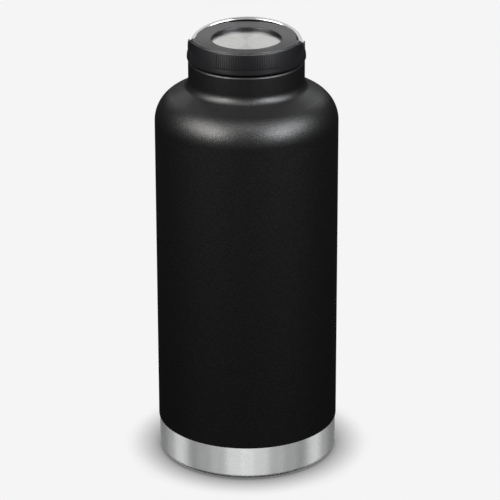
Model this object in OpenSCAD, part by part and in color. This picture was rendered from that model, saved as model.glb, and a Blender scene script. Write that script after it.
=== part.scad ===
// Double-wall vacuum growler with a screw-in loop cap.
// Origin: centre of the standing ring. +Z up, -Y is the front, the bail pivots along X.

/* [Bottle] */
// Outside diameter of the painted body
body_d = 115; // [110:0.5:120]
// Height of the neck rim above the table
rim_z = 262.4; // [255:0.2:280]
// Height where the straight wall turns into the shoulder
shoulder_z = 222.9; // [205:0.1:226]
// Radius of the rounded shoulder
shoulder_r = 20.1; // [18:0.1:21]
// Angle of the shoulder's curve where it runs into a straight cone
shoulder_turn = 60; // [52:1:68]
// Outside diameter of the neck
neck_d = 72.6; // [71:0.1:73]
// Radius of the fillet at the foot of the neck
neck_fillet = 6.5; // [4:0.1:8]
// Thickness of the outer steel wall
shell_t = 0.6; // [0.4:0.1:1]
// Thickness of the inner steel wall
liner_t = 0.5; // [0.4:0.1:0.8]
// Width of the evacuated space between the walls
vacuum_gap = 4.5; // [3.5:0.1:5]

/* [Base] */
// Height of the bare steel band
band_h = 22; // [15:0.5:30]
// Step in from the painted wall to the steel band
band_step = 0.5; // [0.3:0.1:1]
// Radius of the rounded bottom corner
base_corner = 3.5; // [2:0.1:5]
// Height of the hollow inside the standing ring
base_hollow = 2.6; // [1.5:0.1:4]

/* [Mouth thread] */
// Radius of the bore that the thread stands in
bore_r = 29; // [28.8:0.1:29.4]
// Rise of the thread in one turn
lead = 6; // [5:0.5:8]
// Height of the thread ridges
ridge_h = 1.4; // [1:0.1:1.5]
// Number of turns of thread
turns = 1.6; // [1:0.1:1.7]

/* [Cap] */
// Gap between the neck rim and the lower edge of the cap
seam = 1.0; // [0.6:0.1:1.3]
// Largest radius of the grip band
band_r = 37.04; // [36.5:0.02:37.5]
// Height of the cap from its lower edge to its top rim
cap_h = 14.2; // [13.8:0.1:15]
// Radius of the opening over the steel disc
window_r = 21.8; // [18:0.1:22]
// Depth of the steel disc below the edge of the opening
disc_depth = 2.3; // [1:0.1:2.4]

/* [Bail] */
// Inside radius of the bail
bail_in = 31.8; // [31.8:0.1:32]
// Width of the strap, measured outwards
bail_w = 3.1; // [2.5:0.1:3.1]
// Height of the strap
bail_t = 3.6; // [3:0.1:4]
// Straight length between the pivots and the round part
bail_leg = 1.2; // [1.2:0.1:2]
// Slope of the folded bail, up towards the back
bail_slope = 9; // [8:0.5:10]
// Height of the pivots above the lower edge of the cap
pivot_up = 8.4; // [8.2:0.1:8.6]
// Radius of the pivot pins
pin_r = 1.5; // [1.2:0.1:1.6]

/* [Hidden] */
$fn = 96;

PAINT = "#1c1c1e";
STEEL = "#c3c5c8";
PLASTIC = "#26262a";
SILICONE = "#3a3a3d";
FOAM = "#f2f0ea";
GLASS = "#5a7f86";

// Bottle
body_r = body_d / 2;
neck_r = neck_d / 2;
rim_round = 1.5;                        // rounded outer edge of the neck rim
shell_arcs = 16;                        // points along each arc of a wall
shoulder_in = body_r - shoulder_r;      // radius at the centre of the shoulder arc
liner_r = body_r - shell_t - vacuum_gap;    // outside of the inner liner
liner_fillet = 3;                       // fillet at the foot of the inner neck
weld_z = 32;                            // seam between the liner and its bottom
liner_floor = 10;                       // underside of the liner's bottom
liner_corner = 12;                      // rounded corner of the liner's bottom

// Base
base_t = 0.8;                           // thickness of the base cup
base_r = body_r - band_step;
collar_r = body_r - shell_t;            // part of the cup that goes up inside the shell
collar_h = 8;
ring_in = 47.5;                         // inner edge of the standing ring
port_r = 2.5;
port_bead = 3.2;
base_disc_r = 13;
base_disc_t = 0.8;
bead_t = 0.8;                           // height of the glass bead over the port
getter_r = 5;
getter_t = 2.6;
getter_x = 26;
clip_t = 0.4;
clip_drop = 3;                          // depth of the getter's tray below the liner
tab_l = 4;                              // welded tabs of the tray
tab_w = 6;

// Thread
ridge_foot = 2.2;
ridge_crest = 1.0;
ridge_gap = 0.4;                        // radial play between each crest and the facing wall
thread_z = rim_z - 13.2;                // start of the bottle's ridge
sides = 36;                             // steps in a turn of the ridge

// Cap
cap_z = rim_z + seam;
cap_top = cap_z + cap_h;
plug_r = bore_r - ridge_h - ridge_gap;
plug_z = rim_z - 17;                    // underside of the plug
plug_wall = 2;
foot_r = plug_r - 0.6;                  // the plug narrows where the steel cup covers it
foot_h = 3.5;
cup_t = 0.5;
flange_z = cap_z + 0.5;
flange_r = 33.9;
flange_t = 2.5;
gasket_in = plug_r + 0.4;
gasket_out = 33.2;
barrel_z = cap_z + 1.0;                 // height of the band's widest point
barrel_arc = 14.3;                      // radius of the band's bulge
collar_foot = cap_z + 7.5;              // where the bulge ends
collar_side = 35.65;                    // upright wall above the bulge
dish_r = 34.5;                          // outer edge of the dished top
dish_drop = 1.6;                        // fall of the dished top from its edge to the window
well_z = cap_z + 3.0;                   // ceiling over the plug's flange
hollow_r = 28.6;                        // hollow inside the cap
tub_t = 1.4;                            // floor and wall that hold the steel disc
deck_t = 3.4;                           // thickness of the cap's top
foot_round = 1.0;                       // rounded lower edge of the band
side_draft = 0.25;                      // how far the upright wall leans out at its top
bevel = 0.5;                            // bevel around the top of the upright wall
rim_groove = 0.45;                      // depth of the groove inside the bevel
window_round = 0.3;                     // rounded edge of the window
tip_x = 32.5;                           // where the fall of each horn's tip starts
tip_slope = 31;                         // slope of that fall
tip_cut = 20;                           // size of the block that cuts it
disc_t = 0.6;
glue_t = 0.3;
disc_z = cap_top - dish_drop - disc_depth - disc_t;
tub_z = disc_z - glue_t;

// Bail
bail_out = bail_in + bail_w;
pivot_z = cap_z + pivot_up;
eye_r = 2.2;
shelf_r = 31.2;                         // wall that the folded bail lies around
ear_in = bail_out + 0.3;                // inner face of the ear beside the bail
ear_out = 36.2;
ear_half = 4;                           // half length of an ear
ear_top = pivot_z + 2.9;
lean = 30;                              // how far the bail can lean forward of upright
pin_in = hollow_r + 0.3;
pin_out = ear_in + 0.6;
running = 0.06;                         // play of the pin in the bail's eye
bail_gap = 0.3;                         // space left around the bail

function arc(c, r, from, to, n) =
    [for (i = [0:n]) let (a = from + (to - from) * i / n)
        [c[0] + r * cos(a), c[1] + r * sin(a)]];
function reversed(p) = [for (i = [len(p) - 1:-1:0]) p[i]];

// Outer wall, moved inwards by t: straight side, shoulder, cone, neck fillet, neck and rim.
function shell_path(t) =
    let (cone_r = shoulder_in + shoulder_r * cos(shoulder_turn),
         cone_z = shoulder_z + shoulder_r * sin(shoulder_turn),
         fillet_x = neck_r + neck_fillet,
         run = cone_r - fillet_x + neck_fillet * cos(shoulder_turn),
         fillet_z = cone_z + run / tan(shoulder_turn) + neck_fillet * sin(shoulder_turn))
    concat(
        [[body_r - t, band_h]],
        arc([shoulder_in, shoulder_z], shoulder_r - t, 0, shoulder_turn, shell_arcs),
        arc([fillet_x, fillet_z], neck_fillet + t, shoulder_turn - 180, -180, shell_arcs / 2),
        arc([neck_r - rim_round, rim_z - rim_round], rim_round - t, 0, 90, shell_arcs / 2),
        [[bore_r + liner_t, rim_z - t]]);

// Inner wall, moved inwards by t, from its weld up to the rim.
function liner_path(t) =
    let (arc_r = liner_r - shoulder_in,
         fillet_r = liner_fillet,
         fillet_x = bore_r + liner_t + fillet_r)
    concat(
        [[liner_r - t, weld_z]],
        arc([shoulder_in, shoulder_z], arc_r - t, 0, 90, shell_arcs),
        arc([fillet_x, shoulder_z + arc_r + fillet_r], fillet_r + t, -90, -180, shell_arcs / 2),
        [[bore_r + liner_t - t, rim_z]]);

// Bottom of the inner vessel, moved inwards by t.
function liner_bottom_path(t) =
    concat(
        [[0, liner_floor + t]],
        arc([liner_r - liner_corner, liner_floor + liner_corner], liner_corner - t, -90, 0, shell_arcs),
        [[liner_r - t, weld_z]]);

// Underside and side of the base cup, moved inwards by t.
function base_path(t) =
    concat(
        [[0, base_hollow + t], [ring_in - base_hollow + t / 2, base_hollow + t], [ring_in + t / 2, t]],
        arc([base_r - base_corner, base_corner], base_corner - t, -90, 0, shell_arcs / 2));

module wall(outside, inside) {
    rotate_extrude()
        polygon(concat(outside, reversed(inside)));
}

// Helical ridge with its foot sunk 0.3 mm into the wall at radius r; dir is 1 outwards, -1 inwards.
module ridge(r, dir, start_z) {
    sink = 0.3;
    steps = round(turns * sides);
    section = [[-sink, -ridge_foot / 2], [ridge_h, -ridge_crest / 2],
               [ridge_h, ridge_crest / 2], [-sink, ridge_foot / 2]];
    order = dir > 0 ? [3, 2, 1, 0] : [0, 1, 2, 3];
    fade = 5;                           // steps over which each end of the ridge runs out
    points = [for (i = [0:steps], k = order)
        let (grow = max(0.05, min(1, i / fade, (steps - i) / fade)),
             a = 360 * i / sides,
             rr = r + dir * (section[k][0] > 0 ? section[k][0] * grow : section[k][0]),
             z = start_z + lead * i / sides + section[k][1])
        [rr * cos(a), rr * sin(a), z]];
    faces = concat(
        [[0, 1, 2, 3]],
        [for (i = [0:steps - 1], k = [0:3])
            [4 * i + k, 4 * i + 4 + k, 4 * i + 4 + (k + 1) % 4, 4 * i + (k + 1) % 4]],
        [[4 * steps + 3, 4 * steps + 2, 4 * steps + 1, 4 * steps]]);
    polyhedron(points, faces);
}

// ---- Bottle ----

module outer_shell() {
    color(PAINT)
        wall(shell_path(0), shell_path(shell_t));
}

module base_cup() {
    outside = concat(base_path(0), [[base_r, band_h], [collar_r, band_h], [collar_r, band_h + collar_h]]);
    inside = concat(base_path(base_t), [[base_r - base_t, band_h + collar_h]]);
    color(STEEL)
        difference() {
            wall(outside, inside);
            cylinder(r = port_r, h = 3 * base_hollow);
        }
}

module inner_liner() {
    color(STEEL)
        union() {
            wall(liner_path(0), liner_path(liner_t));
            ridge(bore_r, -1, thread_z);
        }
}

module liner_bottom() {
    color(STEEL)
        wall(liner_bottom_path(0), liner_bottom_path(liner_t));
}

module getter() {
    color("dimgray")
        translate([getter_x, 0, liner_floor - clip_drop])
            cylinder(r = getter_r, h = getter_t);
}

// Open tray that is spot-welded under the liner and holds the getter.
module getter_clip() {
    color(STEEL)
        translate([getter_x, 0, liner_floor - clip_drop])
            difference() {
                union() {
                    translate([0, 0, -clip_t])
                        cylinder(r = getter_r + clip_t, h = clip_drop + clip_t);
                    translate([-getter_r - tab_l, -tab_w / 2, clip_drop - clip_t])
                        cube([2 * (getter_r + tab_l), tab_w, clip_t]);
                }
                cylinder(r = getter_r, h = 2 * clip_drop);
            }
}

module port_seal() {
    color(GLASS)
        union() {
            translate([0, 0, base_hollow])
                cylinder(r = port_r, h = base_t);
            translate([0, 0, base_hollow + base_t])
                cylinder(r = port_bead, h = bead_t);
        }
}

module base_disc() {
    color(STEEL)
        translate([0, 0, base_hollow - base_disc_t])
            cylinder(r = base_disc_r, h = base_disc_t);
}

// ---- Seal ----

module rim_gasket() {
    color(SILICONE)
        difference() {
            translate([0, 0, rim_z])
                cylinder(r = gasket_out, h = flange_z - rim_z);
            translate([0, 0, rim_z - 1])
                cylinder(r = gasket_in, h = 5);
        }
}

// ---- Cap ----

function cap_profile() =
    concat(
        [[0, tub_z - tub_t], [window_r + tub_t, tub_z - tub_t],
         [window_r + tub_t, cap_top - deck_t], [hollow_r, cap_top - deck_t],
         [hollow_r, well_z], [flange_r, well_z], [flange_r, cap_z]],
        arc([band_r - foot_round, barrel_z], foot_round, -90, 0, 6),
        arc([band_r - barrel_arc, barrel_z], barrel_arc, 2, asin((collar_foot - barrel_z) / barrel_arc), 12),
        [[collar_side, collar_foot + 0.3],
         [collar_side + side_draft, cap_top - bevel - 0.2],
         [collar_side + side_draft - bevel, cap_top - 0.2],
         [dish_r + 0.3, cap_top - rim_groove],
         [dish_r, cap_top],
         [window_r + window_round, cap_top - dish_drop],
         [window_r, cap_top - dish_drop - window_round],
         [window_r, tub_z], [0, tub_z]]);

// Side view of the room that the bail needs: its shelf, its pivots and its lean forward.
module bail_room_outline() {
    reach = body_r;
    room = eye_r + bail_gap;
    under = bail_t / 2 + bail_gap;
    circle(r = room);
    rotate(bail_slope)
        translate([0, -under])
            square([reach, reach]);
    rotate(lean)
        translate([-room, 0])
            square([reach, reach]);
}

// Everything outside the shelf wall that the bail sweeps.
module bail_room() {
    difference() {
        translate([-body_r, 0, pivot_z])
            rotate([90, 0, 90])
                linear_extrude(height = body_d)
                    bail_room_outline();
        cylinder(r = shelf_r, h = 2 * rim_z);
    }
}

// Lug outside each pivot that hides the end of its pin.
module ear(side) {
    low = collar_foot + 0.6;
    translate([side * (ear_in + ear_out) / 2, 0, (low + ear_top) / 2])
        cube([ear_out - ear_in, 2 * ear_half, ear_top - low], center = true);
}

// Block that cuts the fall of the horn's tip on one side.
module tip_cutter(side) {
    translate([side * tip_x, 0, cap_top - 0.1])
        rotate([0, side * tip_slope, 0])
            translate([side * tip_cut / 2, -tip_cut / 2, tip_cut / 4])
                cube([tip_cut, tip_cut, tip_cut / 2], center = true);
}

module cap_shell() {
    color(PLASTIC)
        difference() {
            union() {
                difference() {
                    rotate_extrude()
                        polygon(cap_profile());
                    bail_room();
                    tip_cutter(1);
                    tip_cutter(-1);
                }
                ear(1);
                ear(-1);
                ear_feet();
            }
            for (side = [0, 180])
                rotate([0, 0, side])
                    translate([0, 0, pivot_z])
                        rotate([0, 90, 0])
                            cylinder(r = pin_r, h = pin_out);
        }
}

// Web under each ear that ties it to the shelf.
module ear_feet() {
    for (side = [-1, 1])
        intersection() {
            translate([side * (ear_in + ear_out) / 2, 0, collar_foot - 1])
                cube([ear_out - ear_in, 2 * ear_half, 4], center = true);
            cylinder(r = collar_side, h = 2 * rim_z);
        }
}

module threaded_plug() {
    color(PLASTIC)
        union() {
            difference() {
                union() {
                    translate([0, 0, plug_z + cup_t])
                        cylinder(r = foot_r, h = foot_h);
                    translate([0, 0, plug_z + foot_h])
                        cylinder(r = plug_r, h = flange_z - plug_z - foot_h);
                    translate([0, 0, flange_z])
                        cylinder(r = flange_r, h = well_z - flange_z);
                }
                translate([0, 0, plug_z + cup_t + plug_wall])
                    cylinder(r = plug_r - plug_wall, h = rim_z);
            }
            ridge(plug_r, 1, thread_z + lead / 2 - 0.6);
        }
}

module plug_insulation() {
    color(FOAM)
        translate([0, 0, plug_z + cup_t + plug_wall])
            cylinder(r = plug_r - plug_wall - 0.1, h = well_z - plug_z);
}

module plug_liner() {
    color(STEEL)
        translate([0, 0, plug_z])
            difference() {
                cylinder(r = foot_r + cup_t, h = foot_h - 0.1);
                translate([0, 0, cup_t])
                    cylinder(r = foot_r, h = foot_h);
            }
}

module top_disc() {
    color(STEEL)
        translate([0, 0, disc_z])
            cylinder(r = window_r - 0.1, h = disc_t);
}

module disc_adhesive() {
    color("silver")
        translate([0, 0, tub_z])
            cylinder(r = window_r - 1.5, h = glue_t);
}

module pivot_pin(side) {
    color(STEEL)
        translate([side > 0 ? pin_in : -pin_out, 0, pivot_z])
            rotate([0, 90, 0])
                cylinder(r = pin_r, h = pin_out - pin_in);
}

module pivot_pin_left() {
    pivot_pin(-1);
}

module pivot_pin_right() {
    pivot_pin(1);
}

// ---- Bail ----

// Section of the strap with rounded corners.
module strap_section() {
    round_r = 1.0;
    w = bail_w - 2 * round_r;
    t = bail_t - 2 * round_r;
    translate([bail_in + bail_w / 2, 0]) {
        square([bail_w, t], center = true);
        square([w, bail_t], center = true);
        for (x = [-w / 2, w / 2], y = [-t / 2, t / 2])
            translate([x, y])
                circle(r = round_r);
    }
}

module bail() {
    color(STEEL)
        translate([0, 0, pivot_z])
            rotate([bail_slope, 0, 0])
                difference() {
                    union() {
                        translate([0, bail_leg, 0])
                            rotate_extrude(angle = 180)
                                strap_section();
                        for (side = [0, 1])
                            mirror([side, 0, 0]) {
                                translate([0, bail_leg, 0])
                                    rotate([90, 0, 0])
                                        linear_extrude(height = bail_leg)
                                            strap_section();
                                translate([bail_in, 0, 0])
                                    rotate([0, 90, 0])
                                        cylinder(r = eye_r, h = bail_w);
                            }
                    }
                    translate([-body_r, 0, 0])
                        rotate([0, 90, 0])
                            cylinder(r = pin_r + running, h = body_d);
                }
}

outer_shell();
base_cup();
inner_liner();
liner_bottom();
getter();
getter_clip();
port_seal();
base_disc();
rim_gasket();
cap_shell();
threaded_plug();
plug_insulation();
plug_liner();
top_disc();
disc_adhesive();
pivot_pin_left();
pivot_pin_right();
bail();
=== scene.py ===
"""Double-wall vacuum growler with a screw-in loop cap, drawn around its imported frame."""

import math

import bmesh
import bpy
from bpy.props import FloatProperty, FloatVectorProperty, IntProperty, PointerProperty
from mathutils import Matrix, Vector


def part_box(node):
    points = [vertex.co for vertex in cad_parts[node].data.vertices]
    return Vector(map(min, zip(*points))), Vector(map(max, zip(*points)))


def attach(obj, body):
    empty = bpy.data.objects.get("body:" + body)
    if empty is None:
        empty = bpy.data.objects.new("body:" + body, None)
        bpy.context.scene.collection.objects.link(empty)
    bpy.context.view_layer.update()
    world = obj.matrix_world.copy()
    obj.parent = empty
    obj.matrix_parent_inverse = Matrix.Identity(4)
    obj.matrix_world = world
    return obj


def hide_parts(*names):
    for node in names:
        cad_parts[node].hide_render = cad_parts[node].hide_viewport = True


bl_info = {
    "name": "Vacuum Growler",
    "version": (1, 0, 0),
    "blender": (4, 5, 0),
    "location": "View3D > Sidebar > Growler",
    "description": "Builds the finish meshes, materials and studio of a double-wall growler",
    "category": "Object",
}

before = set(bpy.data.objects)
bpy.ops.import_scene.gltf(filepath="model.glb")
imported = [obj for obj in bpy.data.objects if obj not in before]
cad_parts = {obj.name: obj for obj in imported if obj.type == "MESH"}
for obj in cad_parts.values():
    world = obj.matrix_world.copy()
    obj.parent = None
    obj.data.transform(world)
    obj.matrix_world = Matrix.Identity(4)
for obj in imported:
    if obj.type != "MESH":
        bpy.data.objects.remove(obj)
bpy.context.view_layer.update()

MM = 0.001
SHARP = 38                  # edges sharper than this many degrees stay crisp
ROUND_STEPS = 320           # steps round the bottle
LINE_RADIUS = 50 * MM       # where lines that run round Z have their stated length
NOISE_LOW, NOISE_HIGH = 0.3, 0.7        # nearly all of a noise texture lies between these
shell_lo, shell_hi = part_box("outer_shell")
cup_lo, cup_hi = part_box("base_cup")
cap_lo, cap_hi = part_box("cap_shell")
disc_lo, disc_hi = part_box("top_disc")
pin_lo, pin_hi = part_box("pivot_pin_right")
bail_lo, bail_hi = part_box("bail")
PIVOT_Z = (pin_lo.z + pin_hi.z) / 2
PIN_R = (pin_hi.z - pin_lo.z) / 2


def linear(code):
    """An sRGB hex colour as linear red, green, blue and alpha."""
    parts = [int(code[i:i + 2], 16) / 255 for i in (1, 3, 5)]
    return tuple(c / 12.92 if c <= 0.04045 else ((c + 0.055) / 1.055) ** 2.4
                 for c in parts) + (1.0,)


def length(name, description, default):
    """A size property in metres."""
    return FloatProperty(name=name, description=description, default=default,
                         min=0.0, precision=5, unit="LENGTH")


def angle(name, description, degrees):
    """An angle property."""
    return FloatProperty(name=name, description=description,
                         default=math.radians(degrees), subtype="ANGLE")


def colour(name, description, code):
    """A colour property whose default is an sRGB hex code."""
    return FloatVectorProperty(name=name, description=description, size=4, min=0.0,
                               max=1.0, default=linear(code), subtype="COLOR")


class BottleSizes(bpy.types.PropertyGroup):
    """Sizes of the painted wall and the steel base."""

    radius: length("Body radius", "Outside of the painted wall", shell_hi.x)
    rim_z: length("Rim height", "Height of the neck rim", shell_hi.z)
    band_z: length("Band height", "Top of the bare steel band", shell_lo.z)
    shoulder_z: length("Shoulder height", "Where the straight wall ends", 222.9 * MM)
    shoulder_r: length("Shoulder radius", "Radius of the rounded shoulder", 20.1 * MM)
    shoulder_turn: angle("Shoulder turn", "Where the shoulder runs into a cone", 60)
    neck_r: length("Neck radius", "Outside of the neck", 36.3 * MM)
    neck_fillet: length("Neck fillet", "Fillet at the foot of the neck", 6.5 * MM)
    rim_round: length("Rim rounding", "Rounded outer edge of the rim", 1.5 * MM)
    wall: length("Outer wall", "Thickness of the outer steel wall", 0.6 * MM)
    bore_r: length("Bore edge", "Inner edge of the outer wall at the rim", 29.5 * MM)
    base_r: length("Base radius", "Outside of the bare steel band", cup_hi.x)
    base_wall: length("Base wall", "Thickness of the base cup", 0.8 * MM)
    base_corner: length("Base corner", "Radius of the bottom corner", 3.5 * MM)
    base_hollow: length("Base hollow", "Height of the hollow underneath", 2.6 * MM)
    ring_in: length("Standing ring", "Inner radius of the standing ring", 47.5 * MM)
    collar_h: length("Hidden collar", "Length of the cup inside the wall", 8 * MM)
    port_r: length("Port radius", "Hole that the vacuum is drawn through", 2.5 * MM)


class CapSizes(bpy.types.PropertyGroup):
    """Sizes of the moulded cap."""

    band_r: length("Band radius", "Widest point of the grip band", cap_hi.x)
    barrel_z: length("Band height", "Height of the widest point", cap_lo.z + 1.0 * MM)
    crease_z: length("Crease height", "Where the band meets the collar",
                     cap_lo.z + 7.5 * MM)
    barrel_r: length("Band bulge", "Radius of the band's bulge", 14.3 * MM)
    window_r: length("Window radius", "Opening over the steel disc", 21.8 * MM)
    shelf_r: length("Shelf wall", "Wall that the folded bail lies around", 31.2 * MM)
    lean: angle("Lean", "How far the bail can lean forward of upright", 30)
    tip_slope: angle("Tip slope", "Fall of the horns at their outer corners", 40)
    rib_count: IntProperty(name="Ribs", description="Grip ribs on the front",
                           default=29, min=0)
    rib_pitch: angle("Rib pitch", "Angle from one grip rib to the next", 2.2)
    rib_turn: angle("Rib turn", "Turn of the ribs from the front", 4.0)
    rib_h: length("Rib height", "How far the ribs stand out", 0.45 * MM)


class BailSizes(bpy.types.PropertyGroup):
    """Sizes of the steel bail."""

    outer: length("Outer radius", "Outside of the strap", bail_hi.x)
    width: length("Strap width", "Width of the strap, outwards", 3.1 * MM)
    height: length("Strap height", "Height of the strap", 3.6 * MM)
    corner: length("Edge rounding", "Rounding of the strap's edges", 1.3 * MM)
    leg: length("Leg", "Straight length before the round part", 1.2 * MM)
    eye_r: length("Eye radius", "Rounded end around each pin", 2.2 * MM)
    play: length("Play", "Play of the pin in the eye", 0.06 * MM)
    slope: angle("Slope", "Rise of the folded bail towards the back", 9)


class FinishLooks(bpy.types.PropertyGroup):
    """Colours of the finishes and the sizes of their grain."""

    paint: colour("Paint", "Black powder coat", "#070708")
    plastic: colour("Plastic", "Black polypropylene", "#141416")
    steel: colour("Steel", "Stainless steel", "#cfd0d0")
    bright: colour("Polished steel", "Polished stainless steel", "#d6d7d9")
    silicone: colour("Silicone", "Dark grey silicone", "#35353a")
    foam: colour("Foam", "White polyurethane foam", "#f2efe6")
    getter: colour("Getter", "Sintered getter alloy", "#4b4946")
    glass: colour("Glass", "Solder glass", "#5a7f86")
    film: colour("Film", "Adhesive film", "#b9b4a6")
    paint_grain: length("Paint grain", "Size of the powder coat's texture", 0.9 * MM)
    mould_grain: length("Mould grain", "Size of the spark-eroded texture", 0.3 * MM)
    brush_line: length("Brush line", "Width of a brushed line", 0.25 * MM)


class StudioSetup(bpy.types.PropertyGroup):
    """Camera, floor and lights."""

    floor: colour("Floor", "Seamless white floor", "#f5f5f5")
    turn: angle("Camera turn", "Turn of the camera about the bottle", 3.4)
    pitch: angle("Camera pitch", "How far the camera looks down", 22.25)
    roll: angle("Camera roll", "Tilt of the horizon", -0.145)
    lens: FloatProperty(name="Lens", description="Focal length in millimetres",
                        default=203.67, min=10)
    place: FloatVectorProperty(name="Camera place", subtype="TRANSLATION", size=3,
                               description="Where the camera stands before its turn",
                               default=(0.00192, -1.6675, 0.8167))


class GrowlerSettings(bpy.types.PropertyGroup):
    """All that a user may change."""

    bottle: PointerProperty(type=BottleSizes)
    cap: PointerProperty(type=CapSizes)
    bail: PointerProperty(type=BailSizes)
    looks: PointerProperty(type=FinishLooks)
    studio: PointerProperty(type=StudioSetup)


# ---- Meshes ----

def arc(centre, radius, first, last, steps):
    """Points (r, z) along an arc, its angles in degrees from +r towards +z."""
    turns = [math.radians(first + (last - first) * i / steps) for i in range(steps + 1)]
    return [(centre[0] + radius * math.cos(t), centre[1] + radius * math.sin(t))
            for t in turns]


def smooth_step(low, high, value):
    """0 below low and 1 above high, with an even start and end."""
    share = min(1.0, max(0.0, (value - low) / (high - low)))
    return share * share * (3 - 2 * share)


def soft_min(a, b, blend):
    """The lower of two heights, rounded over where they meet."""
    gap = max(0.0, blend - abs(a - b))
    return min(a, b) - gap * gap / (4 * blend)


def between(points, value):
    """Height at a radius on a list of (radius, height) whose radii fall."""
    for (r1, z1), (r2, z2) in zip(points, points[1:]):
        if value >= r2:
            share = 0.0 if r1 == r2 else min(1.0, max(0.0, (r1 - value) / (r1 - r2)))
            return z1 + (z2 - z1) * share
    return points[-1][1]


def level(r, z, turns):
    """One ring of points at a radius and a height."""
    return [(r * math.cos(t), r * math.sin(t), z) for t in turns]


def turned(profile, steps):
    """Rings of points for a profile of (r, z) turned about Z; a point on the axis stays one."""
    turns = [2 * math.pi * i / steps for i in range(steps)]
    return [[(0.0, 0.0, z)] if r < 1e-7 else level(r, z, turns) for r, z in profile]


def skin(name, shells, sharp=SHARP):
    """One mesh object from shells of rings; a shell is (rings, whether the last joins the first)."""
    points, faces = [], []
    for rings, closed in shells:
        starts = []
        for ring in rings:
            starts.append(len(points))
            points.extend(ring)
        for a in range(len(rings) if closed else len(rings) - 1):
            b = (a + 1) % len(rings)
            count_a, count_b = len(rings[a]), len(rings[b])
            count = max(count_a, count_b)
            for i in range(count):
                j = (i + 1) % count
                corners = (starts[a] + i % count_a, starts[a] + j % count_a,
                           starts[b] + j % count_b, starts[b] + i % count_b)
                # next to a ring of one point, two corners are the same
                faces.append(tuple(dict.fromkeys(corners)))
    mesh = bpy.data.meshes.new(name)
    mesh.from_pydata(points, [], faces)
    work = bmesh.new()
    work.from_mesh(mesh)
    bmesh.ops.recalc_face_normals(work, faces=work.faces)
    work.to_mesh(mesh)
    work.free()
    return placed(name, mesh, sharp)


def placed(name, mesh, sharp):
    """An object in the scene for a mesh, shaded smooth up to the sharp angle in degrees."""
    mesh.validate()
    mesh.shade_smooth()
    mesh.set_sharp_from_angle(angle=math.radians(sharp))
    piece = bpy.data.objects.new(name, mesh)
    bpy.context.scene.collection.objects.link(piece)
    return piece


def dress(piece, material):
    """Gives a piece or a CAD node one material."""
    piece.data.materials.clear()
    piece.data.materials.append(material)


# ---- Materials ----

def add(tree, kind, inputs=None, **settings):
    """Adds one node; each input is a value or the socket that feeds it."""
    node = tree.nodes.new(kind)
    for name, value in settings.items():
        setattr(node, name, value)
    for key, value in (inputs or {}).items():
        if isinstance(value, bpy.types.NodeSocket):
            tree.links.new(value, node.inputs[key])
        else:
            node.inputs[key].default_value = value
    return node


def per(size):
    """Texture scale that makes one cell this long, in metres."""
    return 1.0 / size


def blank(name):
    """An empty node material: the material, its tree and its coordinates in metres."""
    material = bpy.data.materials.new(name)
    material.use_nodes = True
    tree = material.node_tree
    tree.nodes.clear()
    return material, tree, add(tree, "ShaderNodeTexCoord").outputs["Object"]


def close(tree, inputs):
    """Ends a tree with a principled shader."""
    shader = add(tree, "ShaderNodeBsdfPrincipled", inputs)
    add(tree, "ShaderNodeOutputMaterial", {"Surface": shader.outputs["BSDF"]})


def noise(tree, coords, size, detail, roughness=0.5):
    """A noise texture whose cells are this long, in metres."""
    return add(tree, "ShaderNodeTexNoise", {
        "Vector": coords, "Scale": per(size), "Detail": detail,
        "Roughness": roughness}).outputs["Fac"]


def ranged(tree, value, low, high, from_low=NOISE_LOW, from_high=NOISE_HIGH):
    """A value moved from one range, a noise's own unless stated, to another."""
    return add(tree, "ShaderNodeMapRange", {
        "Value": value, "From Min": from_low, "From Max": from_high,
        "To Min": low, "To Max": high}).outputs["Result"]


def shaded(tree, base, factor):
    """A colour made darker or lighter by a factor."""
    return add(tree, "ShaderNodeVectorMath", {0: base[:3], "Scale": factor},
               operation="SCALE").outputs["Vector"]


def blended(tree, value, weight, rest):
    """A value times its weight, added to the rest."""
    return add(tree, "ShaderNodeMath", {0: value, 1: weight, 2: rest},
               operation="MULTIPLY_ADD").outputs[0]


def relief(tree, height, depth):
    """The direction that a surface faces under a grain this deep, in metres."""
    return add(tree, "ShaderNodeBump", {
        "Height": height, "Distance": depth, "Strength": 1.0}).outputs["Normal"]


def around(tree, coords, along, across):
    """Coordinates for lines that run round Z: one cell is along by across, in metres."""
    part = add(tree, "ShaderNodeSeparateXYZ", {"Vector": coords})
    turn = add(tree, "ShaderNodeMath", {0: part.outputs["Y"], 1: part.outputs["X"]},
               operation="ARCTAN2")
    flat = add(tree, "ShaderNodeCombineXYZ",
               {"X": part.outputs["X"], "Y": part.outputs["Y"]})
    reach = add(tree, "ShaderNodeVectorMath", {0: flat.outputs["Vector"]},
                operation="LENGTH")
    cells = [add(tree, "ShaderNodeMath", {0: value, 1: scale}, operation="MULTIPLY")
             for value, scale in ((turn.outputs[0], LINE_RADIUS / along),
                                  (part.outputs["Z"], 1 / across),
                                  (reach.outputs["Value"], 1 / across))]
    return add(tree, "ShaderNodeCombineXYZ", {
        axis: cell.outputs[0] for axis, cell in zip("XYZ", cells)}).outputs["Vector"]


def powder_coated_steel(looks):
    """Polyester powder sprayed on steel and baked: black, low sheen, with a fine orange peel."""
    peel_size, peel_share, depth = 2.6 * MM, 0.8, 0.075 * MM
    material, tree, coords = blank("Powder_coated_steel_black")
    grain = noise(tree, coords, looks.paint_grain, 3.0, 0.6)
    peel = noise(tree, coords, peel_size, 1.0)
    close(tree, {
        "Base Color": shaded(tree, looks.paint, ranged(tree, grain, 0.7, 1.35)),
        "Roughness": ranged(tree, grain, 0.38, 0.46), "IOR": 1.5,
        "Normal": relief(tree, blended(tree, peel, peel_share, grain), depth)})
    return material


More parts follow.
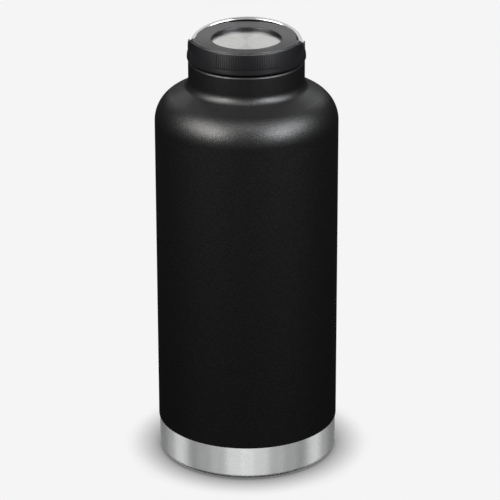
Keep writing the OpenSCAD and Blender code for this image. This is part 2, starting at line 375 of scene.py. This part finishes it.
def lined_steel(name, base, line, rough, stretch, strength):
    """Stainless steel with fine lines round Z; reflections smear across the lines."""
    line_length, stain_size, stain_share, spread = 22 * MM, 9 * MM, 0.5, 0.05
    material, tree, coords = blank(name)
    lines = noise(tree, around(tree, coords, line_length, line), 1.0, 4.0, 0.65)
    stains = noise(tree, coords, stain_size, 2.0)
    both = blended(tree, stains, stain_share, lines)
    tangent = add(tree, "ShaderNodeTangent", direction_type="RADIAL", axis="Z")
    close(tree, {
        "Base Color": shaded(tree, base, ranged(tree, lines, 0.93, 1.05)), "Metallic": 1.0,
        "Roughness": ranged(tree, both, rough - spread, rough + spread, 0.45, 1.05),
        "Anisotropic": stretch, "Anisotropic Rotation": 0.25,
        "Tangent": tangent.outputs["Tangent"], "Normal": relief(tree, lines, strength)})
    return material


def brushed_steel(looks):
    """Stainless steel brushed round the base: satin, with reflections drawn out upright."""
    return lined_steel("Brushed_stainless_steel", looks.steel, looks.brush_line,
                       0.33, 0.8, 0.002 * MM)


def spun_steel(looks):
    """Stainless disc faced on a lathe: fine rings that draw reflections outwards."""
    return lined_steel("Spun_stainless_steel", looks.steel, looks.brush_line,
                       0.30, 0.85, 0.002 * MM)


def smooth_steel(name, base, rough):
    """Stainless steel without lines: faint ripples and handling marks."""
    mark_size, depth = 1.5 * MM, 0.001 * MM
    material, tree, coords = blank(name)
    marks = noise(tree, coords, mark_size, 4.0, 0.7)
    close(tree, {
        "Base Color": shaded(tree, base, ranged(tree, marks, 0.96, 1.03)), "Metallic": 1.0,
        "Roughness": ranged(tree, marks, rough * 0.8, rough * 1.25),
        "Normal": relief(tree, marks, depth)})
    return material


def polished_steel(looks):
    """Buffed stainless steel: clear reflections with faint ripples."""
    return smooth_steel("Polished_stainless_steel", looks.bright, 0.16)


def electropolished_steel(looks):
    """Electropolished food-grade steel: bright, slightly soft reflections."""
    return smooth_steel("Electropolished_stainless_steel", looks.steel, 0.24)


def speckled(name, base, size, depth, rough, spread, metallic=0.0, ior=1.5):
    """A moulded, foamed or sintered surface: an even grain in colour, gloss and height."""
    gloss_spread = 0.04
    material, tree, coords = blank(name)
    grain = noise(tree, coords, size, 3.0, 0.6)
    close(tree, {
        "Base Color": shaded(tree, base, ranged(tree, grain, 1.0 - spread, 1.0 + spread)),
        "Metallic": metallic, "IOR": ior,
        "Roughness": ranged(tree, grain, rough - gloss_spread, rough + gloss_spread),
        "Normal": relief(tree, grain, depth)})
    return material


def moulded_polypropylene(looks):
    """Injection-moulded polypropylene: black, with the fine matt grain of an eroded mould."""
    return speckled("Polypropylene_moulded_black", looks.plastic, looks.mould_grain,
                    0.012 * MM, 0.36, 0.12)


def moulded_silicone(looks):
    """Moulded silicone rubber: dark grey and velvety."""
    return speckled("Silicone_moulded", looks.silicone, 0.2 * MM, 0.006 * MM, 0.55,
                    0.06, ior=1.41)


def poured_foam(looks):
    """Polyurethane foam poured into the plug: white, with fine closed cells."""
    return speckled("Polyurethane_foam", looks.foam, 0.6 * MM, 0.2 * MM, 0.85, 0.06)


def sintered_getter(looks):
    """Pressed and sintered zirconium alloy powder: dark grey and porous."""
    return speckled("Sintered_getter_alloy", looks.getter, 0.25 * MM, 0.05 * MM, 0.7,
                    0.2, metallic=0.6)


def fused_glass(looks):
    """Solder glass melted over the vacuum port: blue-grey and glossy."""
    return speckled("Solder_glass_fused", looks.glass, 1.2 * MM, 0.03 * MM, 0.12, 0.1,
                    ior=1.6)


def adhesive_film(looks):
    """Double-sided acrylic film: cloudy and soft."""
    return speckled("Acrylic_adhesive_film", looks.film, 0.5 * MM, 0.01 * MM, 0.5, 0.05)


FINISHES = {
    "black_powder_coat": powder_coated_steel,
    "brushed_steel": brushed_steel,
    "spun_steel": spun_steel,
    "polished_steel": polished_steel,
    "inner_steel": electropolished_steel,
    "black_polypropylene": moulded_polypropylene,
    "silicone": moulded_silicone,
    "white_foam": poured_foam,
    "getter_alloy": sintered_getter,
    "solder_glass": fused_glass,
    "adhesive_film": adhesive_film,
}
made = {}


def finish(slot):
    """The material for one of the record's slots, made when it is first asked for."""
    if slot not in made:
        made[slot] = FINISHES[slot](bpy.context.scene.growler.looks)
    return made[slot]


# ---- Pieces ----

class GROWLER_OT_painted_wall(bpy.types.Operator):
    """Builds the painted outer wall with its shoulder, neck and rolled rim."""

    bl_idname = "growler.painted_wall"
    bl_label = "Painted wall"

    def path(self, s, t):
        """The wall's outside moved inwards by t, from the band up to the rim."""
        inner = s.radius - s.shoulder_r
        turn = s.shoulder_turn
        degrees = math.degrees(turn)
        cone_r = inner + s.shoulder_r * math.cos(turn)
        cone_z = s.shoulder_z + s.shoulder_r * math.sin(turn)
        fillet_r = s.neck_r + s.neck_fillet
        run = cone_r - fillet_r + s.neck_fillet * math.cos(turn)
        fillet_z = cone_z + run / math.tan(turn) + s.neck_fillet * math.sin(turn)
        levels = (0.5, 2, 40, 90, 140, 180, 199)        # mm above the band
        return ([(s.radius - t, s.band_z + z * MM) for z in levels]
                + arc((inner, s.shoulder_z), s.shoulder_r - t, 0, degrees, 40)
                + arc((fillet_r, fillet_z), s.neck_fillet + t, degrees - 180, -180, 28)
                + arc((s.neck_r - s.rim_round, s.rim_z - s.rim_round),
                      s.rim_round - t, 0, 90, 12)
                + [(s.bore_r, s.rim_z - t)])

    def execute(self, context):
        s = context.scene.growler.bottle
        lip = 0.3 * MM
        foot = arc((s.radius - lip, s.band_z + lip), lip, -90, 0, 5)
        inside = self.path(s, s.wall)
        profile = foot + self.path(s, 0) + inside[::-1] + [(s.radius - s.wall, s.band_z)]
        piece = skin("painted_wall", [(turned(profile, ROUND_STEPS), True)])
        dress(piece, finish("black_powder_coat"))
        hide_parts("outer_shell")
        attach(piece, "bottle")
        return {"FINISHED"}


class GROWLER_OT_base_band(bpy.types.Operator):
    """Builds the bare steel base cup with its standing ring and hollow."""

    bl_idname = "growler.base_band"
    bl_label = "Base band"

    def underside(self, s, t):
        """The cup's outside moved inwards by t, from its port to the foot of its side."""
        flat_r = 20 * MM
        bend, bend_drop = 1 * MM, 0.15 * MM         # where the flat turns down
        ease, ease_rise = 0.4 * MM, 0.3 * MM        # where the slope meets the ring
        slope_r = s.ring_in - s.base_hollow         # the slope falls at 45 degrees
        return ([(s.port_r, s.base_hollow + t), (flat_r, s.base_hollow + t),
                 (slope_r - bend, s.base_hollow + t),
                 (slope_r + t / 2, s.base_hollow - bend_drop + t),
                 (s.ring_in - ease + t / 2, ease_rise + t),
                 (s.ring_in + ease + t / 2, t)]
                + arc((s.base_r - s.base_corner, s.base_corner),
                      s.base_corner - t, -90, 0, 18))

    def execute(self, context):
        s = context.scene.growler.bottle
        lip = 0.1 * MM
        collar = s.radius - s.wall
        top = s.band_z + s.collar_h
        side = [(s.base_r, s.band_z * 0.4),         # a ring part of the way up the side
                (s.base_r, s.band_z - 2 * lip),
                (s.base_r, s.band_z - lip), (collar, s.band_z),
                (collar, s.band_z + 1 * MM), (collar, top)]
        inside = [(s.base_r - s.base_wall, top), (s.base_r - s.base_wall, s.band_z)]
        profile = self.underside(s, 0) + side + inside + self.underside(s, s.base_wall)[::-1]
        piece = skin("base_band", [(turned(profile, ROUND_STEPS), True)])
        dress(piece, finish("brushed_steel"))
        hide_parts("base_cup")
        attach(piece, "bottle")
        return {"FINISHED"}


DISH_START = 16             # the crown's first point past the long slope of its dish
COLLAR_R = 35.65 * MM       # radius of the cap just above its crease
CREASE_H = 0.3 * MM         # height of the crease
COLLAR_H = 5.75 * MM        # height over which the collar widens, and by how much
COLLAR_FLARE = 0.25 * MM
FRONT_H = 13.4 * MM         # height over which the front's even bulge turns in
FRONT_TOP = 0.2 * MM        # how far its top stands out from the collar
FRONT_FULL, FRONT_GONE = math.radians(50), math.radians(74)     # reach of that bulge
RIB_FOOT = (3.7 * MM, 4.3 * MM)         # where the ribs rise out of the band
RIB_HEAD = (13.2 * MM, 13.8 * MM)       # where they sink back into it
SHELF_EDGE = 0.4 * MM       # rounding of the edge above the shelf


class GROWLER_OT_cap_moulding(bpy.types.Operator):
    """Builds the cap: grip band with ribs, dished top, shelf for the bail and its ears."""

    bl_idname = "growler.cap_moulding"
    bl_label = "Cap moulding"

    def crown(self):
        """The whole top as (radius, height) from its outer edge in to the window."""
        top = cap_hi.z
        edge = [(35.90, 0.65), (35.86, 0.48), (35.74, 0.32), (35.58, 0.23), (35.40, 0.20),
                (35.22, 0.24), (35.08, 0.36), (35.00, 0.56), (34.94, 0.84), (34.84, 0.96),
                (34.72, 0.84), (34.66, 0.50), (34.60, 0.24), (34.50, 0.10), (34.34, 0.02),
                (34.10, 0.05), (22.50, 1.52), (22.20, 1.60), (21.98, 1.76), (21.85, 2.0),
                (21.80, 2.3)]
        return [(r * MM, top - drop * MM) for r, drop in edge]

    def room(self, s, y):
        """Lowest height that the bail's sweep leaves free, at a distance y behind the pivots."""
        reach = 2.5 * MM            # from the pivot to the outside of the bail's eye
        under = 2.1 * MM            # from the pivot to the underside of the folded bail
        slope = bpy.context.scene.growler.bail.slope
        turn_y = -reach * math.cos(s.lean)
        turn_z = -reach * math.sin(s.lean)
        leave = math.sqrt(reach ** 2 - under ** 2) * math.cos(slope) + under * math.sin(slope)
        if y < turn_y:
            return PIVOT_Z + turn_z + (turn_y - y) / math.tan(s.lean)
        if y < leave:
            return PIVOT_Z - math.sqrt(reach ** 2 - y ** 2)
        return PIVOT_Z + y * math.tan(slope) - under / math.cos(slope)

    def top(self, s, crown, r, t):
        """Height of the cap's top at radius r and turn t."""
        wall_foot, wall_slope = 0.12 * MM, 80
        edge_reach, edge_share = 0.6 * MM, 0.8
        full_step = 0.8 * MM        # a drop to the shelf that rounds the edge in full
        rim_r, rim_width, rim_drop = 35.5 * MM, 0.4 * MM, 0.35 * MM
        tip, tip_ease, tip_back = 32.5 * MM, 1 * MM, 4 * MM
        x, y = r * math.cos(t), r * math.sin(t)
        height = between(crown, r)
        if r > s.shelf_r - edge_reach:
            step = between(crown, s.shelf_r) - self.room(s, s.shelf_r * math.sin(t))
            inside = s.shelf_r - wall_foot - SHELF_EDGE
            over = min(SHELF_EDGE, max(0.0, r - inside))
            height -= (smooth_step(0.0, full_step, step) * (r <= s.shelf_r)
                       * (SHELF_EDGE - math.sqrt(SHELF_EDGE ** 2 - over ** 2)) * edge_share)
        if r > s.shelf_r - wall_foot:
            free = self.room(s, y) + max(0.0, s.shelf_r - r) * wall_slope
            free -= rim_drop * max(0.0, (r - rim_r) / rim_width) ** 2
            height = soft_min(height, free, 0.5 * MM)
        if abs(x) > tip - tip_ease and y < tip_back:
            cut = cap_hi.z - 0.1 * MM - (abs(x) - tip) * math.tan(s.tip_slope)
            height = soft_min(height, cut, 0.6 * MM)
        return height

    def side(self, s, z, t):
        """Radius of the outer wall at height z and turn t, ribs included."""
        if z < s.barrel_z:
            return s.band_r
        bulge = s.band_r - s.barrel_r
        crease = bulge + math.sqrt(s.barrel_r ** 2 - (s.crease_z - s.barrel_z) ** 2)
        if z < s.crease_z:
            r = bulge + math.sqrt(s.barrel_r ** 2 - (z - s.barrel_z) ** 2)
        elif z < s.crease_z + CREASE_H:
            r = crease + (COLLAR_R - crease) * (z - s.crease_z) / CREASE_H
        else:
            collar = (z - s.crease_z - CREASE_H) / COLLAR_H
            r = COLLAR_R + COLLAR_FLARE * min(1.0, collar)
        around_front = math.remainder(t - (1.5 * math.pi + s.rib_turn), 2 * math.pi)
        rise = min(1.0, (z - s.barrel_z) / FRONT_H)
        even = s.band_r - (s.band_r - COLLAR_R - FRONT_TOP) * rise ** 2
        front = 1 - smooth_step(FRONT_FULL, FRONT_GONE, abs(around_front))
        r += (even - r) * front
        half = s.rib_pitch * (s.rib_count - 1) / 2
        if abs(around_front) < half + s.rib_pitch / 2:
            wave = 0.5 + 0.5 * math.cos(2 * math.pi * (around_front + half) / s.rib_pitch)
            ends = (smooth_step(*RIB_FOOT, z - cap_lo.z)
                    * (1 - smooth_step(*RIB_HEAD, z - cap_lo.z)))
            r += s.rib_h * smooth_step(0.25, 0.75, wave) * ends
        return r

    def turns(self, s):
        """Turns of the grid, close together at the ribs and at the bail's two ends."""
        rib_step, end_step, plain_step = 0.22, 0.3, 1.2     # degrees
        rib_reach, back_reach, front_reach = 32.5, 8, 16
        values = []
        t = 0.0
        while t < 360 - 0.1:
            values.append(math.radians(t))
            from_pivot = abs(math.remainder(t, 180))
            from_ribs = abs(math.remainder(t - 270 - math.degrees(s.rib_turn), 360))
            if from_ribs < rib_reach:
                t += rib_step
            elif from_pivot < (back_reach if t <= 180 else front_reach):
                t += end_step
            else:
                t += plain_step
        return values

    def ear(self, side):
        """Rings of the rounded lug outside one pivot."""
        low, high, half = PIVOT_Z - 3.6 * MM, PIVOT_Z + 2.3 * MM, 4.0 * MM
        corner, edge = 2.2 * MM, 0.3 * MM
        inner, outer, bevel = 35.2, 36.2, 0.3       # mm out from the axis
        outline = (arc((half - corner, high - corner), corner, 0, 90, 8)
                   + arc((corner - half, high - corner), corner, 90, 180, 8)
                   + [(-half, low), (half, low)])
        middle = (low + high) / 2
        rings = []
        for x, bevelled in ((inner, 1), (inner + bevel, 0), (outer - bevel, 0), (outer, 1)):
            share = 1 - bevelled * edge / half
            rings.append([(side * x * MM, y * share, middle + (z - middle) * share)
                          for y, z in outline])
        return ([[(side * inner * MM, 0, middle)]] + rings
                + [[(side * outer * MM, 0, middle)]])

    def underneath(self, s):
        """The hollow under the cap as (radius, height), from the tub out to the band's foot."""
        tub_wall, deck, skirt = 1.4 * MM, 3.4 * MM, 3 * MM
        tub_r, plug_r, skirt_r = 23.2 * MM, 28.6 * MM, 33.9 * MM
        return ([(0, self.tub_floor() - tub_wall), (tub_r, self.tub_floor() - tub_wall),
                 (tub_r, cap_hi.z - deck), (plug_r, cap_hi.z - deck),
                 (plug_r, cap_lo.z + skirt), (skirt_r, cap_lo.z + skirt), (skirt_r, cap_lo.z)]
                + arc((s.band_r - 1 * MM, s.barrel_z), 1 * MM, -90, 0, 8))

    def tub_floor(self):
        """Height of the floor that the steel disc is stuck to."""
        return disc_lo.z - 0.3 * MM

    def wall_rings(self, s, turns, tops):
        """Rings up the outer wall: some below the crease, then some up to the top's edge."""
        rings = []
        for below, steps in ((True, 20), (False, 18)):
            for i in range(1, steps + 1):
                ring = []
                for t, top in zip(turns, tops):
                    knee = min(s.crease_z, top - 0.3 * MM)
                    low, high = (s.barrel_z, knee) if below else (knee, top)
                    z = low + (high - low) * i / steps
                    r = self.side(s, z, t)
                    ring.append((r * math.cos(t), r * math.sin(t), z))
                rings.append(ring)
        return rings

    def execute(self, context):
        s = context.scene.growler.cap
        crown = self.crown()
        turns = self.turns(s)
        under = self.underneath(s)
        rings = [[(0, 0, under[0][1])]] + [level(r, z, turns) for r, z in under[1:]]
        rings += self.wall_rings(s, turns, [self.top(s, crown, crown[0][0], t) for t in turns])
        # radii in mm across the shelf, close together at its wall, and then down the dish
        shelf = (33.8, 33.4, 33.0, 32.5, 32.0, 31.6, 31.35, 31.2, 31.18, 31.16, 31.14, 31.12,
                 31.1, 31.08, 31.05, 31.0, 30.93, 30.84, 30.74, 30.6, 30, 28, 26, 24)
        radii = ([r for r, z in crown[1:DISH_START]] + [r * MM for r in shelf]
                 + [r for r, z in crown[DISH_START:]])
        for r in radii:
            rings.append([(r * math.cos(t), r * math.sin(t), self.top(s, crown, r, t))
                          for t in turns])
        rings += [level(s.window_r, z, turns) for z in (disc_hi.z, self.tub_floor())]
        rings.append([(0, 0, self.tub_floor())])
        piece = skin("cap_moulding", [(rings, False), (self.ear(1), False),
                                      (self.ear(-1), False)], sharp=42)
        dress(piece, finish("black_polypropylene"))
        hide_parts("cap_shell")
        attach(piece, "cap")
        return {"FINISHED"}


class GROWLER_OT_carry_bail(bpy.types.Operator):
    """Builds the rounded steel bail with an eye at each end."""

    bl_idname = "growler.carry_bail"
    bl_label = "Carry bail"

    def section(self, s, half):
        """The strap's outline (across, up) for a half height."""
        corner = min(s.corner, 0.8 * half)
        x, z = s.width / 2 - corner, half - corner
        return (arc((x, z), corner, 0, 90, 7) + arc((-x, z), corner, 90, 180, 7)
                + arc((-x, -z), corner, 180, 270, 7) + arc((x, -z), corner, 270, 360, 7))

    def execute(self, context):
        s = context.scene.growler.bail
        middle = s.outer - s.width / 2
        eye = [-s.eye_r * math.cos(math.radians(a)) for a in range(8, 91, 7)]
        leg = eye + [s.leg * share for share in (0.25, 0.5, 0.75)]
        bow_steps = 120
        stations = [(0.0, y) for y in leg]
        stations += [(math.pi * i / bow_steps, s.leg) for i in range(bow_steps + 1)]
        stations += [(math.pi, y) for y in reversed(leg)]
        rings = []
        cos_s, sin_s = math.cos(s.slope), math.sin(s.slope)

        def tilt(x, y, z):
            return (x, y * cos_s - z * sin_s, PIVOT_Z + y * sin_s + z * cos_s)

        for turn, y in stations:
            round_end = math.sqrt(max(0.0, s.eye_r ** 2 - y ** 2))
            half = round_end if y < 0 else max(s.height / 2, round_end)
            ring = []
            for across, up in self.section(s, half):
                r = middle + across
                ring.append(tilt(r * math.cos(turn), y + r * math.sin(turn), up))
            rings.append(ring)
        ends = [[tilt(side * middle, -s.eye_r, 0)] for side in (1, -1)]
        strap = skin("bail_blank", [([ends[0]] + rings + [ends[1]], False)])
        drill_r, drill_end, drill_steps = PIN_R + s.play, 40 * MM, 64
        bit = [[(-drill_end, 0, PIVOT_Z)]]
        for x in (-drill_end, drill_end):
            bit.append([(x, drill_r * math.cos(t), PIVOT_Z + drill_r * math.sin(t))
                        for t in (2 * math.pi * i / drill_steps for i in range(drill_steps))])
        bit.append([(drill_end, 0, PIVOT_Z)])
        drill = skin("bail_drill", [(bit, False)])
        cut = strap.modifiers.new("pin_holes", "BOOLEAN")
        cut.operation = "DIFFERENCE"
        cut.solver = "EXACT"
        cut.object = drill
        context.view_layer.update()
        graph = context.evaluated_depsgraph_get()
        mesh = bpy.data.meshes.new_from_object(strap.evaluated_get(graph))
        mesh.name = "carry_bail"
        if len(mesh.polygons) < len(rings):
            raise RuntimeError("the pin holes could not be cut")
        bpy.data.objects.remove(strap)
        bpy.data.objects.remove(drill)
        piece = placed("carry_bail", mesh, SHARP)
        dress(piece, finish("polished_steel"))
        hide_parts("bail")
        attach(piece, "carry_bail")
        return {"FINISHED"}


class GROWLER_OT_top_disc(bpy.types.Operator):
    """Builds the spun steel disc in the cap's window."""

    bl_idname = "growler.top_disc"
    bl_label = "Top disc"

    def execute(self, context):
        r, low, high = disc_hi.x, disc_lo.z, disc_hi.z
        edge = 0.25 * MM
        profile = ([(0, low), (r - 0.1 * MM, low), (r, low + 0.1 * MM)]
                   + arc((r - edge, high - edge), edge, 0, 90, 6)
                   + [(r * share, high) for share in (0.95, 0.75, 0.5, 0.25, 0.05)]
                   + [(0, high)])
        piece = skin("spun_disc", [(turned(profile, 192), False)])
        dress(piece, finish("spun_steel"))
        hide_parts("top_disc")
        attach(piece, "cap")
        return {"FINISHED"}


KEPT = {
    "inner_liner": "inner_steel", "liner_bottom": "inner_steel", "getter": "getter_alloy",
    "getter_clip": "inner_steel", "port_seal": "solder_glass", "base_disc": "brushed_steel",
    "rim_gasket": "silicone", "threaded_plug": "black_polypropylene",
    "plug_insulation": "white_foam", "plug_liner": "inner_steel",
    "disc_adhesive": "adhesive_film", "pivot_pin_left": "polished_steel",
    "pivot_pin_right": "polished_steel",
}


class GROWLER_OT_inner_parts(bpy.types.Operator):
    """Gives the frame's own parts their finishes."""

    bl_idname = "growler.inner_parts"
    bl_label = "Inner parts"

    def execute(self, context):
        for node, slot in KEPT.items():
            dress(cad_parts[node], finish(slot))
        return {"FINISHED"}


class GROWLER_OT_stage(bpy.types.Operator):
    """Sets the floor, the soft lights, the surroundings and the camera."""

    bl_idname = "growler.stage"
    bl_label = "Studio"

    def execute(self, context):
        s = context.scene.growler.studio
        self.floor(s)
        self.surroundings(s)
        self.lights(s)
        self.camera(context, s)
        context.scene.view_settings.view_transform = "Standard"
        return {"FINISHED"}

    def floor(self, s):
        """A wide pale sheet that glows evenly, with a painted contact shadow where ambient occlusion
        finds the bottle nearby.
        """
        drop = -0.2 * MM            # just under the base, so that the two never share a plane
        inner_r, outer_r = 0.3, 4.0
        fibre_size, shadow_reach = 2 * MM, 30 * MM
        profile = [(0, drop), (inner_r, drop), (outer_r, drop)]
        floor = skin("floor", [(turned(profile, 64), False)])
        material, tree, coords = blank("Seamless_paper_white")
        tooth = ranged(tree, noise(tree, coords, fibre_size, 2.0), 0.997, 1.003, 0.0, 1.0)
        # painted shadow: ambient occlusion dims the floor's glow next to the bottle, since no lamp
        # lights or shades this sheet
        shadow_occlusion = add(tree, "ShaderNodeAmbientOcclusion", {"Distance": shadow_reach}, samples=16)
        painted_shadow = ranged(tree, shadow_occlusion.outputs["AO"], 0.2, 1.0, 0.45, 0.92)
        both = add(tree, "ShaderNodeMath", {0: painted_shadow, 1: tooth}, operation="MULTIPLY")
        glow = add(tree, "ShaderNodeEmission", {
            "Color": s.floor, "Strength": both.outputs[0]})
        add(tree, "ShaderNodeOutputMaterial", {"Surface": glow.outputs[0]})
        dress(floor, material)
        floor.visible_glossy = False
        floor.visible_diffuse = False
        floor.visible_shadow = False

    def surroundings(self, s):
        """White for the camera and almost black for reflections."""
        dim_strength = 0.002
        world = bpy.data.worlds.new("studio")
        bpy.context.scene.world = world
        world.use_nodes = True
        tree = world.node_tree
        tree.nodes.clear()
        seen = add(tree, "ShaderNodeLightPath")
        white = add(tree, "ShaderNodeBackground", {"Color": s.floor})
        dim = add(tree, "ShaderNodeBackground", {
            "Color": (1, 1, 1, 1), "Strength": dim_strength})
        mix = add(tree, "ShaderNodeMixShader", {
            0: seen.outputs["Is Camera Ray"], 1: dim.outputs[0], 2: white.outputs[0]})
        add(tree, "ShaderNodeOutputWorld", {"Surface": mix.outputs[0]})

    def group(self, name, pieces, state):
        """A collection that a light reaches alone, or leaves out."""
        items = bpy.data.collections.new(name)
        for piece in pieces:
            items.objects.link(bpy.data.objects[piece])
        for item in items.collection_objects:
            item.light_linking.link_state = state
        return items

    def lights(self, s):
        """Soft panels placed by azimuth from the camera, elevation and distance."""
        most = self.group("not_the_band", ("base_band",), "EXCLUDE")
        dark = self.group("not_bare_steel", ("base_band", "carry_bail", "spun_disc"), "EXCLUDE")
        band = self.group("band_only", ("base_band",), "INCLUDE")
        bail = self.group("bail_only", ("carry_bail",), "INCLUDE")
        disc = self.group("disc_only", ("spun_disc",), "INCLUDE")
        wall = self.group("wall_only", ("painted_wall",), "INCLUDE")
        cap = self.group("cap_only", ("cap_moulding",), "INCLUDE")
        warm, cool, plain = (1, 0.985, 0.96), (0.97, 0.985, 1), (1, 1, 1)
        # name, what it lights, height aimed at, azimuth, elevation, distance, width, height,
        # watts, tint; lengths in metres and turns in degrees
        panels = [
            ("key_left", most, 0.20, -60, 40, 1.2, 0.9, 0.7, 18.5, warm),
            ("key_right", most, 0.20, 59, 40, 1.2, 0.9, 0.7, 19.0, cool),
            ("low_left", dark, 0.20, -43, 28, 1.2, 0.35, 0.35, 7.0, warm),
            ("low_right", dark, 0.20, 42, 28, 1.2, 0.35, 0.35, 7.5, cool),
            ("front", dark, 0.20, 0, 60, 1.5, 0.6, 0.4, 3.3, plain),
            ("rim", dark, 0.20, 180, 60, 1.5, 0.8, 0.4, 4.0, plain),
            ("back_wall", wall, 0.14, 180, 30, 1.5, 0.5, 0.5, 4.5, plain),
            ("rim_left", dark, 0.20, -150, 30, 1.5, 0.6, 0.4, 1.2, plain),
            ("rim_right", dark, 0.20, 150, 30, 1.5, 0.6, 0.4, 1.6, cool),
            ("cap_back", cap, 0.27, 180, 28, 1.5, 1.2, 0.7, 3.4, plain),
            ("cap_left", cap, 0.27, -42, -4, 1.2, 0.4, 0.4, 1.3, warm),
            ("cap_right", cap, 0.27, 42, -4, 1.2, 0.4, 0.4, 1.0, cool),
            ("disc_back", disc, 0.27, 180, 30, 1.8, 1.6, 0.9, 5.5, warm),
            ("disc_above", disc, 0.27, 0, 82, 1.5, 1.0, 1.0, 2.0, plain),
            ("bail_behind", bail, 0.27, 180, 0, 1.2, 1.4, 0.9, 3.0, plain),
            ("bail_back", bail, 0.27, 180, 48, 1.2, 1.8, 1.2, 6.0, warm),
            ("bail_front", bail, 0.27, 0, 35, 1.2, 1.6, 1.4, 4.5, cool),
            ("bail_left", bail, 0.27, -90, 25, 1.2, 0.9, 0.7, 1.1, warm),
            ("bail_right", bail, 0.27, 90, 25, 1.2, 0.9, 0.7, 1.1, warm),
        ]
        # upright strips round the band, 20 degrees apart, give it its bright and dark bars
        for azimuth, power in ((-155, 0.5), (-135, 0.4), (-115, 0.8), (-95, 1.65), (-75, 0.6),
                               (-55, 0.9), (-35, 1.15), (-15, 1.9), (15, 1.7), (35, 1.1),
                               (55, 0.9), (75, 0.6), (95, 1.65), (115, 0.8), (135, 0.4),
                               (155, 0.4), (-175, 2.0), (175, 2.0)):
            panels.append(("band_%d" % azimuth, band, 0.02, azimuth, -10, 1.0, 0.36, 1.4,
                           power, plain))
        panels.append(("band_0", band, 0.02, 0, -10, 1.0, 0.18, 1.4, 0.95, plain))
        for (name, lit, height_z, azimuth, elevation, distance, width, height, power,
             tint) in panels:
            lamp = bpy.data.lights.new(name, "AREA")
            lamp.shape = "RECTANGLE"
            lamp.size, lamp.size_y = width, height
            lamp.energy = power
            lamp.color = tint
            panel = bpy.data.objects.new(name, lamp)
            bpy.context.scene.collection.objects.link(panel)
            turn = math.radians(azimuth) + s.turn
            rise = math.radians(elevation)
            away = Vector((math.sin(turn) * math.cos(rise),
                           -math.cos(turn) * math.cos(rise), math.sin(rise)))
            aim = Vector((0, 0, height_z))
            panel.location = aim + away * distance
            panel.rotation_mode = "QUATERNION"
            panel.rotation_quaternion = away.to_track_quat("Z", "Y")
            panel.visible_camera = False
            panel.light_linking.receiver_collection = lit

    def camera(self, context, s):
        """A long lens that looks down at the bottle."""
        data = bpy.data.cameras.new("camera")
        data.lens = s.lens
        data.sensor_width = 36.0
        data.clip_start, data.clip_end = 0.05, 50.0
        camera = bpy.data.objects.new("camera", data)
        context.scene.collection.objects.link(camera)
        turn = Matrix.Rotation(s.turn, 3, "Z")
        forward = Vector((0, math.cos(s.pitch), -math.sin(s.pitch)))
        level_up = Vector((0, math.sin(s.pitch), math.cos(s.pitch)))
        level_right = Vector((1, 0, 0))
        right = level_right * math.cos(s.roll) + level_up * math.sin(s.roll)
        up = level_up * math.cos(s.roll) - level_right * math.sin(s.roll)
        axes = Matrix((turn @ right, turn @ up, -(turn @ forward))).transposed().to_4x4()
        camera.matrix_world = Matrix.Translation(turn @ Vector(s.place)) @ axes
        context.scene.camera = camera


OPERATORS = (
    GROWLER_OT_painted_wall, GROWLER_OT_base_band, GROWLER_OT_cap_moulding,
    GROWLER_OT_carry_bail, GROWLER_OT_top_disc, GROWLER_OT_inner_parts, GROWLER_OT_stage,
)


class GROWLER_PT_sidebar(bpy.types.Panel):
    """Lists the growler's operators and settings."""

    bl_idname = "GROWLER_PT_sidebar"
    bl_label = "Vacuum growler"
    bl_space_type = "VIEW_3D"
    bl_region_type = "UI"
    bl_category = "Growler"

    def draw(self, context):
        settings = context.scene.growler
        for operator in OPERATORS:
            self.layout.operator(operator.bl_idname)
        for group in (settings.bottle, settings.cap, settings.bail, settings.looks,
                      settings.studio):
            box = self.layout.box()
            for name in group.__annotations__:
                box.prop(group, name)


CLASSES = (BottleSizes, CapSizes, BailSizes, FinishLooks, StudioSetup, GrowlerSettings,
           *OPERATORS, GROWLER_PT_sidebar)


def register():
    for item in CLASSES:
        bpy.utils.register_class(item)
    bpy.types.Scene.growler = PointerProperty(type=GrowlerSettings)


def unregister():
    del bpy.types.Scene.growler
    for item in reversed(CLASSES):
        bpy.utils.unregister_class(item)


def main():
    register()
    bpy.ops.growler.painted_wall()
    bpy.ops.growler.base_band()
    bpy.ops.growler.cap_moulding()
    bpy.ops.growler.carry_bail()
    bpy.ops.growler.top_disc()
    bpy.ops.growler.inner_parts()
    bpy.ops.growler.stage()


if __name__ == "__main__":
    main()
